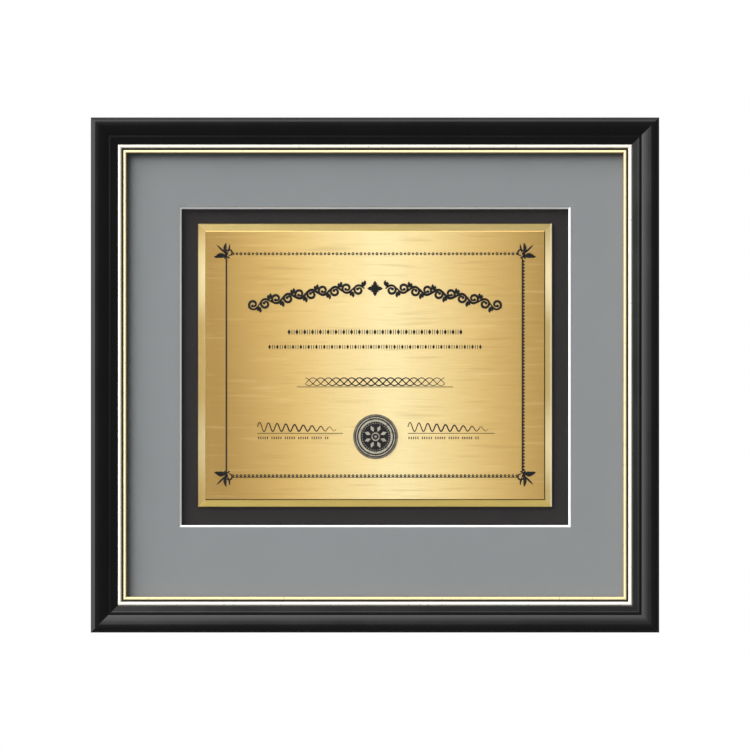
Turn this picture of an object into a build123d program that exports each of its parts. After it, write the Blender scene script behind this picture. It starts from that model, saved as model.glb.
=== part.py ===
from build123d import *
import os

# A wall-hung certificate frame: a black lacquered wooden moulding with a gilt double-bead slip, glazed,
# with a white-cored bevelled window mat raised above a black board that carries a gold plate.
# Millimetres. X runs to the right as seen from the front, Y runs back to the wall and Z runs up.
# The origin is the middle of the frame on the face of the wall that it hangs against.

# Gold plate: a base with sloping borders, and a thinner face plate on it. Foam tape holds it.
plate_width = 254.0
plate_height = 203.2
plate_base_thickness = 3.0
plate_border_width = 5.2
plate_border_fall = 0.7
plate_arris = 0.35
face_plate_thickness = 0.8
face_plate_arris = 0.45
tape_thickness = 1.0
tape_width = 19.0
tape_count = 4
tape_edge_inset = 12.0
tape_end_inset = 22.0

# Mat: the black board shows round the plate, which sits a little high in the mat's window
board_reveal = 13.3
plate_rise = 1.3
mat_margin_side = 37.5
mat_margin_top = 38.2
mat_margin_bottom = 49.5
mat_paper_thickness = 0.25
mat_core_thickness = 1.25
riser_setback = 5.0

# Other sheets of the pack, and their play in the rebate
plate_to_glass_gap = 1.46
glass_thickness = 2.0
glass_edge_chamfer = 0.3
mount_board_thickness = 1.5
backing_thickness = 4.76
backing_recess = 0.08
sheet_play = 0.8

# Moulding. Widths run from the outer edge inwards, rises and drops run forwards and back.
shoulder_width = 3.0
shoulder_drop = 3.2
shoulder_bulge = 0.12
crown_width = 3.0
crown_rise = 0.08
roll_width = 6.5
roll_drop = 3.07
roll_bulge = 0.5
crease_width = 0.6
crease_step = 0.5
lip_bead_width = 2.2
lip_bead_step = 0.45
lip_bead_bulge = 0.2
band_width = 3.4
band_drop = 0.85
lip_chamfer = 0.3
rebate_width = 6.3
back_edge_chamfer = 0.5

# Gilt slip under the moulding's lip: two rounded beads with a groove between them
slip_gap = 0.2
slip_play = 0.4
outer_bead_width = 2.5
outer_bead_fall = 0.85
outer_bead_rise = 0.75
bead_groove_width = 1.3
bead_groove_depth = 0.3
inner_bead_width = 2.4
inner_bead_fall = 0.4
inner_bead_rise = 0.75
slip_neck = 3.15
slip_flange_thickness = 1.3

# Corner joints: bent steel nails driven into the mitres from behind
nail_count_per_corner = 2
nail_first_inset = 3.5
nail_pitch = 4.0
nail_thickness = 0.5
nail_bead_radius = 0.45
nail_wall_margin = 0.9
nail_height = 10.0
nail_clearance = 0.03

# Turn buttons that hold the backing, each on one screw
button_thickness = 1.0
button_hub_radius = 4.3
button_nose_radius = 2.8
button_reach = 13.0
button_edge_radius = 0.25
button_rib_length = 4.0
button_rib_width = 1.2
button_rib_rise = 0.5
button_gap = 0.1
button_bore_clearance = 0.08
button_offset_x = 95.0
side_button_z = 0.0

# Wood screws for the buttons and the hangers
screw_radius = 1.3
screw_length = 11.0
screw_tip_length = 3.0
screw_tip_radius = 0.15
screw_head_radius = 2.75
screw_head_height = 1.7
screw_head_rounding = 0.9
screw_recess_length = 3.2
screw_recess_width = 0.7
screw_recess_depth = 0.8
pilot_clearance = 0.02
pilot_extra_depth = 0.6

# Hangers: a strap with a rolled end that holds a D-shaped wire ring
hanger_inset = 7.2
hanger_drop = 110.0
strap_width = 8.0
strap_thickness = 0.7
strap_end_margin = 5.0
strap_corner_radius = 2.5
strap_hole_clearance = 0.15
curl_rise = 0.3
bar_clearance = 0.07
ring_wire_radius = 0.9
ring_side_play = 0.2
ring_corner_radius = 1.8
ring_reach = 11.0
ring_to_screw_gap = 0.35

# Rubber bumpers at the lower corners, which stand on the wall
bumper_radius = 4.75
bumper_height = 3.8
bumper_rounding = 1.1
bumper_corner_inset = 26.0

# One overrun for every cut that has to break through a face, and the most that a wall can be rounded
cut_overrun = 2.0
most_rounding_share = 0.9

# Across the moulding, inwards from the frame's outer edge
crown_start = shoulder_width
roll_start = crown_start + crown_width
crease_start = roll_start + roll_width
lip_bead_start = crease_start + crease_width
band_start = lip_bead_start + lip_bead_width
lip_edge = band_start + band_width + lip_chamfer
outer_bead_start = lip_edge + slip_gap
groove_start = outer_bead_start + outer_bead_width
inner_bead_start = groove_start + bead_groove_width
sight_inset = inner_bead_start + inner_bead_width
land_width = lip_edge - rebate_width
land_middle = land_width / 2
slip_flange_edge = land_width + slip_play

# Outside size, built up from the plate outwards
frame_width = plate_width + 2 * (board_reveal + mat_margin_side + sight_inset)
window_height = plate_height + 2 * board_reveal
frame_height = window_height + mat_margin_top + mat_margin_bottom + 2 * sight_inset
sheet_width = frame_width - 2 * (land_width + sheet_play)
sheet_height = frame_height - 2 * (land_width + sheet_play)
window_width = plate_width + 2 * board_reveal
window_z = (mat_margin_bottom - mat_margin_top) / 2
plate_z = window_z + plate_rise

# Back from the crown: the profile, the slip under it, and the moulding as deep as what it holds
roll_foot_drop = crown_rise + roll_drop
crease_drop = roll_foot_drop + crease_step
band_end_drop = crease_drop + band_drop
lip_drop = band_end_drop + lip_chamfer
outer_bead_drop = lip_drop + outer_bead_fall
inner_bead_drop = outer_bead_drop + inner_bead_fall
groove_drop = inner_bead_drop + bead_groove_depth
lip_underside_drop = groove_drop + slip_neck
slip_back_drop = lip_underside_drop + slip_flange_thickness
mat_thickness = mat_paper_thickness + mat_core_thickness
plate_stack = tape_thickness + plate_base_thickness + face_plate_thickness
riser_thickness = plate_stack + plate_to_glass_gap - mat_thickness
pack_depth = glass_thickness + mat_thickness + riser_thickness + mount_board_thickness + backing_thickness
moulding_depth = slip_back_drop + pack_depth + backing_recess

# Depths of the pieces, from the wall at zero
rail_back_y = -bumper_height
front_y = rail_back_y - moulding_depth
glass_front_y = front_y + slip_back_drop
mat_front_y = glass_front_y + glass_thickness
core_front_y = mat_front_y + mat_paper_thickness
mat_back_y = core_front_y + mat_core_thickness
board_front_y = mat_back_y + riser_thickness
board_back_y = board_front_y + mount_board_thickness
button_y = rail_back_y + button_gap
button_seat_height = button_gap + button_thickness + button_gap

# Hangers: the ring's bar turns in the strap's roll, and its bow ends short of the screw
bar_hole_radius = ring_wire_radius + bar_clearance
curl_radius = bar_hole_radius + strap_thickness
bar_y = rail_back_y + curl_rise + curl_radius
bar_z = frame_height / 2 - hanger_drop
ring_straight = strap_width / 2 + ring_side_play
ring_half_width = ring_straight + ring_corner_radius
hanger_x = frame_width / 2 - hanger_inset
hanger_screw_drop = ring_reach + ring_wire_radius + ring_to_screw_gap + screw_head_radius
hanger_screw_z = bar_z - hanger_screw_drop
strap_length = hanger_screw_drop + strap_end_margin


def rail(section, length, offset):
    """A rail along the bottom edge, mitred at both ends, from a section drawn inwards and forwards."""
    plane = Plane(origin=(0, rail_back_y, -offset), x_dir=(0, 0, 1), z_dir=(1, 0, 0))
    stick = extrude(plane * section, amount=length / 2, both=True)
    corners = [
        (-length / 2, -offset),
        (length / 2, -offset),
        (length / 2 - sight_inset, sight_inset - offset),
        (sight_inset - length / 2, sight_inset - offset),
    ]
    front_plane = Plane(origin=(0, rail_back_y, 0), x_dir=(1, 0, 0), z_dir=(0, -1, 0))
    outline = make_face(Polyline(*corners, close=True))
    wedge = extrude(front_plane * outline, amount=moulding_depth)
    return stick & wedge


def four_rails(section):
    """The bottom, top, left and right rails of one section."""
    across = rail(section, frame_width, frame_height / 2)
    upright = rail(section, frame_height, frame_width / 2)
    return {
        "bottom": across,
        "top": Rot(0, 180, 0) * across,
        "left": Rot(0, 90, 0) * upright,
        "right": Rot(0, -90, 0) * upright,
    }


def bow(start, end, bulge):
    """An arc between two points of a section, standing out from the straight line by the bulge."""
    run = end[0] - start[0]
    rise = end[1] - start[1]
    length = (run**2 + rise**2) ** 0.5
    middle = (
        (start[0] + end[0]) / 2 - rise / length * bulge,
        (start[1] + end[1]) / 2 + run / length * bulge,
    )
    return ThreePointArc(start, middle, end)


def moulding_section():
    """Shoulder, crown, roll, crease, small bead and sloping band in front, with a rebate behind."""
    crown_edge = moulding_depth - crown_rise
    crease = moulding_depth - crease_drop
    lip_underside = moulding_depth - lip_underside_drop
    shoulder_foot = (0, crown_edge - shoulder_drop)
    shoulder_top = (crown_start, crown_edge)
    crown_end = (roll_start, crown_edge)
    roll_foot = (crease_start, moulding_depth - roll_foot_drop)
    bead_foot = (lip_bead_start, crease)
    bead_top = (lip_bead_start, crease + lip_bead_step)
    bead_end = (band_start, crease)
    outline = bow(shoulder_foot, shoulder_top, shoulder_bulge)
    outline += bow(shoulder_top, crown_end, crown_rise)
    outline += bow(crown_end, roll_foot, roll_bulge)
    outline += Polyline(roll_foot, (crease_start, crease), bead_foot, bead_top)
    outline += bow(bead_top, bead_end, lip_bead_bulge)
    outline += Polyline(
        bead_end,
        (lip_edge - lip_chamfer, moulding_depth - band_end_drop),
        (lip_edge, moulding_depth - lip_drop),
        (lip_edge, lip_underside),
        (land_width, lip_underside),
        (land_width, 0),
        (back_edge_chamfer, 0),
        (0, back_edge_chamfer),
        shoulder_foot,
    )
    return make_face(outline)


def slip_section():
    """A flat flange under the lip, and a nose with two rounded beads."""
    back = moulding_depth - slip_back_drop
    flange_front = moulding_depth - lip_underside_drop
    outer_base = moulding_depth - outer_bead_drop
    inner_base = moulding_depth - inner_bead_drop
    groove_floor = moulding_depth - groove_drop
    outline = Polyline(
        (sight_inset, inner_base),
        (sight_inset, back),
        (slip_flange_edge, back),
        (slip_flange_edge, flange_front),
        (outer_bead_start, flange_front),
        (outer_bead_start, outer_base),
    )
    outline += bow((outer_bead_start, outer_base), (groove_start, outer_base), outer_bead_rise)
    outline += Polyline(
        (groove_start, outer_base),
        (groove_start, groove_floor),
        (inner_bead_start, groove_floor),
        (inner_bead_start, inner_base),
    )
    outline += bow((inner_bead_start, inner_base), (sight_inset, inner_base), inner_bead_rise)
    return make_face(outline)


def sheet(front_y, thickness):
    """A sheet of the pack's full size."""
    block = Box(sheet_width, thickness, sheet_height)
    return Pos(0, front_y + thickness / 2, 0) * block


def window_cut():
    """The mat's window, narrowing towards the back at 45 degrees, run out past both faces."""
    depth = mat_thickness + 2 * cut_overrun
    plane = Plane(origin=(0, mat_front_y - cut_overrun, window_z), x_dir=(1, 0, 0), z_dir=(0, 1, 0))
    near = plane * Rectangle(window_width + 2 * cut_overrun, window_height + 2 * cut_overrun)
    shrink = 2 * (mat_thickness + cut_overrun)
    far = plane.offset(depth) * Rectangle(window_width - shrink, window_height - shrink)
    return loft([near.face(), far.face()])


def plate_base():
    """The plate's base, flat in the middle, with borders that fall outwards."""
    back_y = board_front_y - tape_thickness
    front = back_y - plate_base_thickness
    block = Pos(0, (front + back_y) / 2, plate_z) * Box(plate_width, plate_base_thickness, plate_height)
    face = block.faces().sort_by(Axis.Y)[0]
    sloped = chamfer(face.edges(), plate_border_width, plate_border_fall, reference=face)
    rim_y = front + plate_border_fall
    rim = sloped.edges().filter_by_position(Axis.Y, rim_y, rim_y)
    return chamfer(rim, plate_arris)


def face_plate():
    """The thin plate that carries the design, with its front edges eased."""
    base_front = board_front_y - tape_thickness - plate_base_thickness
    width = plate_width - 2 * plate_border_width
    height = plate_height - 2 * plate_border_width
    middle_y = base_front - face_plate_thickness / 2
    block = Pos(0, middle_y, plate_z) * Box(width, face_plate_thickness, height)
    return chamfer(block.faces().sort_by(Axis.Y)[0].edges(), face_plate_arris)


def tape_strips():
    """Strips of double-sided foam tape, level and evenly spaced behind the plate."""
    top = plate_height / 2 - tape_edge_inset - tape_width / 2
    pitch = 2 * top / (tape_count - 1)
    middle_y = board_front_y - tape_thickness / 2
    strip = Box(plate_width - 2 * tape_end_inset, tape_thickness, tape_width)
    return [Pos(0, middle_y, plate_z + top - pitch * n) * strip for n in range(tape_count)]


def riser_strips():
    """Four strips of foam board that hold the mat up, set back from its window."""
    top_edge = window_z + window_height / 2 - mat_thickness + riser_setback
    bottom_edge = window_z - window_height / 2 + mat_thickness - riser_setback
    side_edge = window_width / 2 - mat_thickness + riser_setback
    middle_y = mat_back_y + riser_thickness / 2
    top_height = sheet_height / 2 - top_edge
    bottom_height = bottom_edge + sheet_height / 2
    side_width = sheet_width / 2 - side_edge
    side_height = top_edge - bottom_edge
    side = Box(side_width, riser_thickness, side_height)
    side_x = side_edge + side_width / 2
    side_z = (top_edge + bottom_edge) / 2
    top_z = top_edge + top_height / 2
    bottom_z = bottom_edge - bottom_height / 2
    return {
        "top": Pos(0, middle_y, top_z) * Box(sheet_width, riser_thickness, top_height),
        "bottom": Pos(0, middle_y, bottom_z) * Box(sheet_width, riser_thickness, bottom_height),
        "left": Pos(-side_x, middle_y, side_z) * side,
        "right": Pos(side_x, middle_y, side_z) * side,
    }


def corner_nails(grow):
    """Every corner nail, or with some growth the slots that they sit in."""
    last_inset = nail_first_inset + nail_pitch * (nail_count_per_corner - 1)
    leg = land_width - last_inset - nail_wall_margin
    thickness = nail_thickness + 2 * grow
    bead = nail_bead_radius + grow
    bend = Pos(leg / 2, 0) * Rectangle(leg, thickness)
    bend += Pos(0, leg / 2) * Rectangle(thickness, leg)
    bend += Circle(bead)
    bend += Pos(leg, 0) * Circle(bead)
    bend += Pos(0, leg) * Circle(bead)
    nails = []
    for side_x, side_z, turn in ((-1, -1, 0), (1, -1, 90), (1, 1, 180), (-1, 1, 270)):
        for n in range(nail_count_per_corner):
            inset = nail_first_inset + nail_pitch * n
            corner = Plane(
                origin=(
                    side_x * (frame_width / 2 - inset),
                    rail_back_y,
                    side_z * (frame_height / 2 - inset),
                ),
                x_dir=(1, 0, 0),
                z_dir=(0, -1, 0),
            )
            nails.append(extrude(corner * Rot(0, 0, turn) * bend, amount=nail_height + grow))
    return nails


def place(shape, x, y, z, turn=0):
    """Stands a shape drawn upwards along Z on the frame's back, turned about Y."""
    return Pos(x, y, z) * Rot(0, turn, 0) * Rot(-90, 0, 0) * shape


def wood_screw():
    """A round-headed screw with a cross recess, seated at zero height and pointing down."""
    shank_length = screw_length - screw_tip_length
    shank = Pos(0, 0, -shank_length / 2) * Cylinder(screw_radius, shank_length)
    tip_middle = -shank_length - screw_tip_length / 2
    tip = Pos(0, 0, tip_middle) * Cone(screw_tip_radius, screw_radius, screw_tip_length)
    head = Pos(0, 0, screw_head_height / 2) * Cylinder(screw_head_radius, screw_head_height)
    rounding = min(screw_head_rounding, screw_head_height * most_rounding_share)
    head = fillet(head.edges().sort_by(Axis.Z)[-1], rounding)
    recess_top = screw_head_height + cut_overrun
    recess_middle = recess_top - (screw_recess_depth + cut_overrun) / 2
    slot = Box(screw_recess_length, screw_recess_width, screw_recess_depth + cut_overrun)
    cross = Pos(0, 0, recess_middle) * (slot + Rot(0, 0, 90) * slot)
    return shank + tip + head - cross


def pilot_hole(seat_height):
    """The hole that a screw cuts in a rail when its head is seated at this height over the rail."""
    depth = screw_length - seat_height + pilot_extra_depth
    middle = (cut_overrun - depth) / 2
    return Pos(0, 0, middle) * Cylinder(screw_radius + pilot_clearance, depth + cut_overrun)


def turn_button():
    """A pear-shaped steel plate with a bore at its wide end and a pressed rib at its nose."""
    nose = Pos(button_reach, 0)
    edges = Circle(button_hub_radius).edges() + (nose * Circle(button_nose_radius)).edges()
    blank = extrude(make_hull(edges), amount=button_thickness)
    blank = fillet(blank.faces().sort_by(Axis.Z)[-1].edges(), button_edge_radius)
    rib_height = button_thickness / 2 + button_rib_rise
    rib = Box(button_rib_width, button_rib_length, rib_height)
    rib = fillet(rib.faces().sort_by(Axis.Z)[-1].edges(), button_edge_radius)
    blank += nose * Pos(0, 0, button_thickness / 2 + rib_height / 2) * rib
    bore = Cylinder(screw_radius + button_bore_clearance, button_thickness + 2 * cut_overrun)
    return blank - bore


def hanger_strap(x):
    """A strap flat on the rail, its upper end rolled round the ring's bar."""
    middle = Pos(x, rail_back_y + strap_thickness / 2, bar_z - strap_length / 2)
    plate = middle * Box(strap_width, strap_thickness, strap_length)
    lower_edges = plate.edges().filter_by(Axis.Y).group_by(Axis.Z)[0]
    rounding = min(strap_corner_radius, strap_width / 2 * most_rounding_share)
    plate = fillet(lower_edges, rounding)
    along = Pos(x, bar_y, bar_z) * Rot(0, 90, 0)
    strap = plate + along * Cylinder(curl_radius, strap_width)
    strap -= along * Cylinder(bar_hole_radius, strap_width + 2 * cut_overrun)
    hole = Cylinder(screw_radius + strap_hole_clearance, strap_thickness + 2 * cut_overrun)
    return strap - place(hole, x, rail_back_y, hanger_screw_z)


def d_ring(x):
    """A closed wire ring: a straight bar through the strap, and a round bow hanging below it."""
    bow_start = ring_reach - ring_half_width
    corner_share = 1 - 0.5**0.5
    corner_step = ring_corner_radius * corner_share
    bar_left = (-ring_straight, 0)
    bar_right = (ring_straight, 0)
    leg_right = (ring_half_width, -ring_corner_radius)
    leg_left = (-ring_half_width, -ring_corner_radius)
    bow_right = (ring_half_width, -bow_start)
    bow_left = (-ring_half_width, -bow_start)
    path = Line(bar_left, bar_right)
    path += ThreePointArc(bar_right, (ring_half_width - corner_step, -corner_step), leg_right)
    path += Line(leg_right, bow_right)
    path += ThreePointArc(bow_right, (0, -ring_reach), bow_left)
    path += Line(bow_left, leg_left)
    path += ThreePointArc(leg_left, (corner_step - ring_half_width, -corner_step), bar_left)
    plane = Plane(origin=(x, bar_y, bar_z), x_dir=(1, 0, 0), z_dir=(0, -1, 0))
    start = Plane(origin=(x - ring_straight, bar_y, bar_z), x_dir=(0, 1, 0), z_dir=(1, 0, 0))
    return sweep(start * Circle(ring_wire_radius), path=plane * path)


def wall_bumper():
    """A low rubber dome with a flat top."""
    dome = Pos(0, 0, bumper_height / 2) * Cylinder(bumper_radius, bumper_height)
    return fillet(dome.edges().sort_by(Axis.Z)[-1], bumper_rounding)


os.makedirs("parts", exist_ok=True)
nodes = {}

# Where the buttons and hangers are screwed on, with each button's direction
button_top_z = frame_height / 2 - land_middle
button_side_x = frame_width / 2 - land_middle
button_places = {
    "turn_button_top_left": (-button_offset_x, button_top_z, 90),
    "turn_button_top_right": (button_offset_x, button_top_z, 90),
    "turn_button_bottom_left": (-button_offset_x, -button_top_z, -90),
    "turn_button_bottom_right": (button_offset_x, -button_top_z, -90),
    "turn_button_left": (-button_side_x, side_button_z, 0),
    "turn_button_right": (button_side_x, side_button_z, 180),
}

# Holes and slots that the rails carry
rail_cuts = corner_nails(nail_clearance)
for x, z, turn in button_places.values():
    rail_cuts.append(place(pilot_hole(button_seat_height), x, rail_back_y, z))
for x in (-hanger_x, hanger_x):
    rail_cuts.append(place(pilot_hole(strap_thickness), x, rail_back_y, hanger_screw_z))

# Moulding rails and gilt slips
for side, stick in four_rails(moulding_section()).items():
    nodes["moulding_" + side] = stick - rail_cuts
for side, stick in four_rails(slip_section()).items():
    nodes["gilt_slip_" + side] = stick
nodes["corner_v_nails"] = corner_nails(0)

# Glass, mat, risers, boards
glass = sheet(glass_front_y, glass_thickness)
nodes["glazing_sheet"] = chamfer(glass.edges().filter_by(Axis.Y, reverse=True), glass_edge_chamfer)
window = window_cut()
nodes["mat_face_paper"] = sheet(mat_front_y, mat_paper_thickness) - window
nodes["mat_core"] = sheet(core_front_y, mat_core_thickness) - window
for side, strip in riser_strips().items():
    nodes["mat_riser_" + side] = strip
nodes["mount_board"] = sheet(board_front_y, mount_board_thickness)
nodes["backing_board"] = sheet(board_back_y, backing_thickness)

# Gold plate
nodes["plate_base"] = plate_base()
nodes["face_plate"] = face_plate()
nodes["plate_tape_strips"] = tape_strips()

# Turn buttons and their screws
button_screws = []
for name, (x, z, turn) in button_places.items():
    nodes[name] = place(turn_button(), x, button_y, z, turn)
    button_screws.append(place(wood_screw(), x, rail_back_y + button_seat_height, z))
nodes["turn_button_screws"] = button_screws

# Hangers
hanger_screws = []
for side, x in (("left", -hanger_x), ("right", hanger_x)):
    nodes["hanger_strap_" + side] = hanger_strap(x)
    nodes["d_ring_" + side] = d_ring(x)
    hanger_screws.append(place(wood_screw(), x, rail_back_y + strap_thickness, hanger_screw_z))
nodes["hanger_screws"] = hanger_screws

# Wall bumpers
bumper_x = frame_width / 2 - bumper_corner_inset
nodes["wall_bumpers"] = [place(wall_bumper(), x, rail_back_y, -button_top_z) for x in (-bumper_x, bumper_x)]

for name, shape in nodes.items():
    solid = Compound(children=shape) if isinstance(shape, list) else shape
    export_step(solid, "parts/" + name + ".step")
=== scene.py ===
import math

import bmesh
import bpy
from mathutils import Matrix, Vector


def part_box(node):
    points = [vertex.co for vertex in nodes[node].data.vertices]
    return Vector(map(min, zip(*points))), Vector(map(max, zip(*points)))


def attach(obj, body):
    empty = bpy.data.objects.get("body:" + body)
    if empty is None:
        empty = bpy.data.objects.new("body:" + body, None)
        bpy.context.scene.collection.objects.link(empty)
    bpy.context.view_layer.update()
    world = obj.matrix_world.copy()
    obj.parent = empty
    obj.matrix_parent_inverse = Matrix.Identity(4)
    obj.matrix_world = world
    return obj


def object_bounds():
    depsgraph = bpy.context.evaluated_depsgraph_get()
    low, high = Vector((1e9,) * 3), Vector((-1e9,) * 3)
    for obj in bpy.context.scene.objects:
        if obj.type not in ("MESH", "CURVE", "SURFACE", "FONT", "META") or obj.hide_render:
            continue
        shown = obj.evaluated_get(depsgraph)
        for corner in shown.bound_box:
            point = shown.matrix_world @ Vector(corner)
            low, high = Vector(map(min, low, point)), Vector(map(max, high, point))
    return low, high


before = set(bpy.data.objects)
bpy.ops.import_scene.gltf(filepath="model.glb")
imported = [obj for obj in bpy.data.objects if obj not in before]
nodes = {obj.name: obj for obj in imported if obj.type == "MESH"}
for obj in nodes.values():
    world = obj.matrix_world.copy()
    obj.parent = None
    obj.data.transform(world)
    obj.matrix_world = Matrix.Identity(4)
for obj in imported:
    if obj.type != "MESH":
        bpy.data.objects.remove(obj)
cad_low, cad_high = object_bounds()

# Moulding: four mitred lengths of one milled wooden section. The front and the outer sides are sprayed
# with black satin lacquer over a filled ground, and the back and the rebate are left as bare wood with
# a ragged edge of overspray.
sides = ("top", "bottom", "left", "right")
rail_half_width = cad_high.x
rail_half_height = cad_high.z
lacquer_colour = (0.0032, 0.0031, 0.0036, 1)
bare_wood_light = (0.62, 0.43, 0.24, 1)
bare_wood_dark = (0.40, 0.24, 0.115, 1)
bare_wood_front_y = -0.0200
bare_wood_roughness = 0.78
overspray_inset = 0.0007
overspray_raggedness = 0.0012
overspray_softness = 0.0002
lacquer_sheen = (0.22, 0.27)
peel_share = 0.05
dust_colour = (0.20, 0.19, 0.18, 1)
dust_share = 0.025
dust_dulling = 0.10
noise_middle = (0.3, 0.7)
noise_core = (0.35, 0.65)
fibre_stretch = 0.035
fibre_share = 0.9
ring_turns = 42.0
ring_share = 0.22


def put(tree, kind, inputs=None, **settings):
    """Adds a node, makes its settings, and sets or links its inputs."""
    node = tree.nodes.new(kind)
    for name, value in settings.items():
        setattr(node, name, value)
    for name, value in (inputs or {}).items():
        if isinstance(value, bpy.types.NodeSocket):
            tree.links.new(value, node.inputs[name])
        else:
            node.inputs[name].default_value = value
    return node


def sum_up(tree, operation, first, second=0.0, third=0.0):
    """One step of arithmetic on numbers or sockets."""
    wanted = {0: first, 1: second, 2: third}
    return put(tree, "ShaderNodeMath", wanted, operation=operation).outputs[0]


def mix_colours(tree, share, first, second):
    """The first colour where the share is nothing, the second where it is one."""
    wanted = {0: share, 6: first, 7: second}
    return put(tree, "ShaderNodeMix", wanted, data_type="RGBA").outputs[2]


def spread(tree, value, low, high, new_low=0.0, new_high=1.0):
    """Maps a value from one range to another and holds it there."""
    wanted = {"Value": value, "From Min": low, "From Max": high, "To Min": new_low, "To Max": new_high}
    return put(tree, "ShaderNodeMapRange", wanted).outputs[0]


def object_place(tree):
    """Where a point of the surface lies, in metres from the frame's origin."""
    return put(tree, "ShaderNodeTexCoord").outputs["Object"]


def speckle(tree, vector, scale, detail=2.0, roughness=0.5):
    """A noise pattern over the surface."""
    wanted = {"Vector": vector, "Scale": scale, "Detail": detail, "Roughness": roughness}
    return put(tree, "ShaderNodeTexNoise", wanted).outputs["Fac"]


def new_group(name, inputs, outputs):
    """A shader node group with named inputs and outputs, and its two end nodes."""
    tree = bpy.data.node_groups.new(name, "ShaderNodeTree")
    for title, kind, value in inputs:
        socket = tree.interface.new_socket(title, in_out="INPUT", socket_type=kind)
        socket.default_value = value
    for title, kind in outputs:
        tree.interface.new_socket(title, in_out="OUTPUT", socket_type=kind)
    return tree, tree.nodes.new("NodeGroupInput"), tree.nodes.new("NodeGroupOutput")


def placed(tree, group, **values):
    """A shader node group placed in a material with its own values."""
    wanted = {name.replace("_", " "): value for name, value in values.items()}
    return put(tree, "ShaderNodeGroup", wanted, node_tree=group).outputs


def rail_position_group():
    """How far a point lies in from the frame's outer edge, and where it lies along its own rail."""
    wanted = [
        ("Half Width", "NodeSocketFloat", rail_half_width),
        ("Half Height", "NodeSocketFloat", rail_half_height),
    ]
    made = [("Inset", "NodeSocketFloat"), ("Along", "NodeSocketFloat"), ("Depth", "NodeSocketFloat")]
    tree, start, end = new_group("rail position", wanted, made)
    axes = put(tree, "ShaderNodeSeparateXYZ", {0: object_place(tree)}).outputs
    from_side = sum_up(tree, "SUBTRACT", start.outputs[0], sum_up(tree, "ABSOLUTE", axes[0]))
    from_end = sum_up(tree, "SUBTRACT", start.outputs[1], sum_up(tree, "ABSOLUTE", axes[2]))
    upright = sum_up(tree, "LESS_THAN", from_side, from_end)
    step = sum_up(tree, "SUBTRACT", axes[2], axes[0])
    tree.links.new(sum_up(tree, "MINIMUM", from_side, from_end), end.inputs["Inset"])
    tree.links.new(sum_up(tree, "MULTIPLY_ADD", upright, step, axes[0]), end.inputs["Along"])
    tree.links.new(axes[1], end.inputs["Depth"])
    return tree


def wood_grain_group():
    """Straight softwood grain: fine fibres along the rail over wider growth rings."""
    wanted = [
        ("Along", "NodeSocketFloat", 0.0),
        ("Inset", "NodeSocketFloat", 0.0),
        ("Depth", "NodeSocketFloat", 0.0),
        ("Light Wood", "NodeSocketColor", bare_wood_light),
        ("Dark Wood", "NodeSocketColor", bare_wood_dark),
    ]
    made = [("Colour", "NodeSocketColor"), ("Height", "NodeSocketFloat")]
    tree, start, end = new_group("wood grain", wanted, made)
    along = sum_up(tree, "MULTIPLY", start.outputs["Along"], fibre_stretch)
    fibre = {0: along, 1: start.outputs["Inset"], 2: start.outputs["Depth"]}
    place = put(tree, "ShaderNodeCombineXYZ", fibre).outputs[0]
    fibres = speckle(tree, place, scale=1900.0, detail=4.0, roughness=0.6)
    rings = speckle(tree, place, scale=210.0, detail=2.0, roughness=0.5)
    waves = sum_up(tree, "SINE", sum_up(tree, "MULTIPLY", rings, ring_turns))
    darkened = sum_up(tree, "MULTIPLY", fibres, fibre_share)
    share = sum_up(tree, "MULTIPLY_ADD", waves, ring_share, darkened)
    colour = mix_colours(tree, share, start.outputs["Light Wood"], start.outputs["Dark Wood"])
    tree.links.new(colour, end.inputs["Colour"])
    tree.links.new(fibres, end.inputs["Height"])
    return tree


def patches_group():
    """Specks or patches over the surface, such as dust or wear, from none where they begin to full."""
    wanted = [
        ("Scale", "NodeSocketFloat", 1000.0),
        ("Detail", "NodeSocketFloat", 3.0),
        ("Roughness", "NodeSocketFloat", 0.5),
        ("Begin", "NodeSocketFloat", 0.5),
        ("Full", "NodeSocketFloat", 0.75),
    ]
    tree, start, end = new_group("patches", wanted, [("Share", "NodeSocketFloat")])
    pattern = [start.outputs[name] for name in ("Scale", "Detail", "Roughness")]
    noise = speckle(tree, object_place(tree), *pattern)
    share = spread(tree, noise, start.outputs["Begin"], start.outputs["Full"])
    tree.links.new(share, end.inputs["Share"])
    return tree


def new_material(name, **sockets):
    """A material with its shader's fixed sockets set, and its node tree."""
    material = bpy.data.materials.new(name)
    material.use_nodes = True
    shader = material.node_tree.nodes["Principled BSDF"]
    for socket, value in sockets.items():
        shader.inputs[socket.replace("_", " ")].default_value = value
    return material, material.node_tree, shader


def emboss(tree, shader, relief, strength, distance):
    """Raises a fine relief in the surface."""
    wanted = {"Strength": strength, "Distance": distance, "Height": relief}
    tree.links.new(put(tree, "ShaderNodeBump", wanted).outputs[0], shader.inputs["Normal"])


def finish_of(material, *names):
    """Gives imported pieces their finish."""
    for name in names:
        nodes[name].data.materials.clear()
        nodes[name].data.materials.append(material)


rail_position = rail_position_group()
wood_grain = wood_grain_group()
patches = patches_group()

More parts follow.
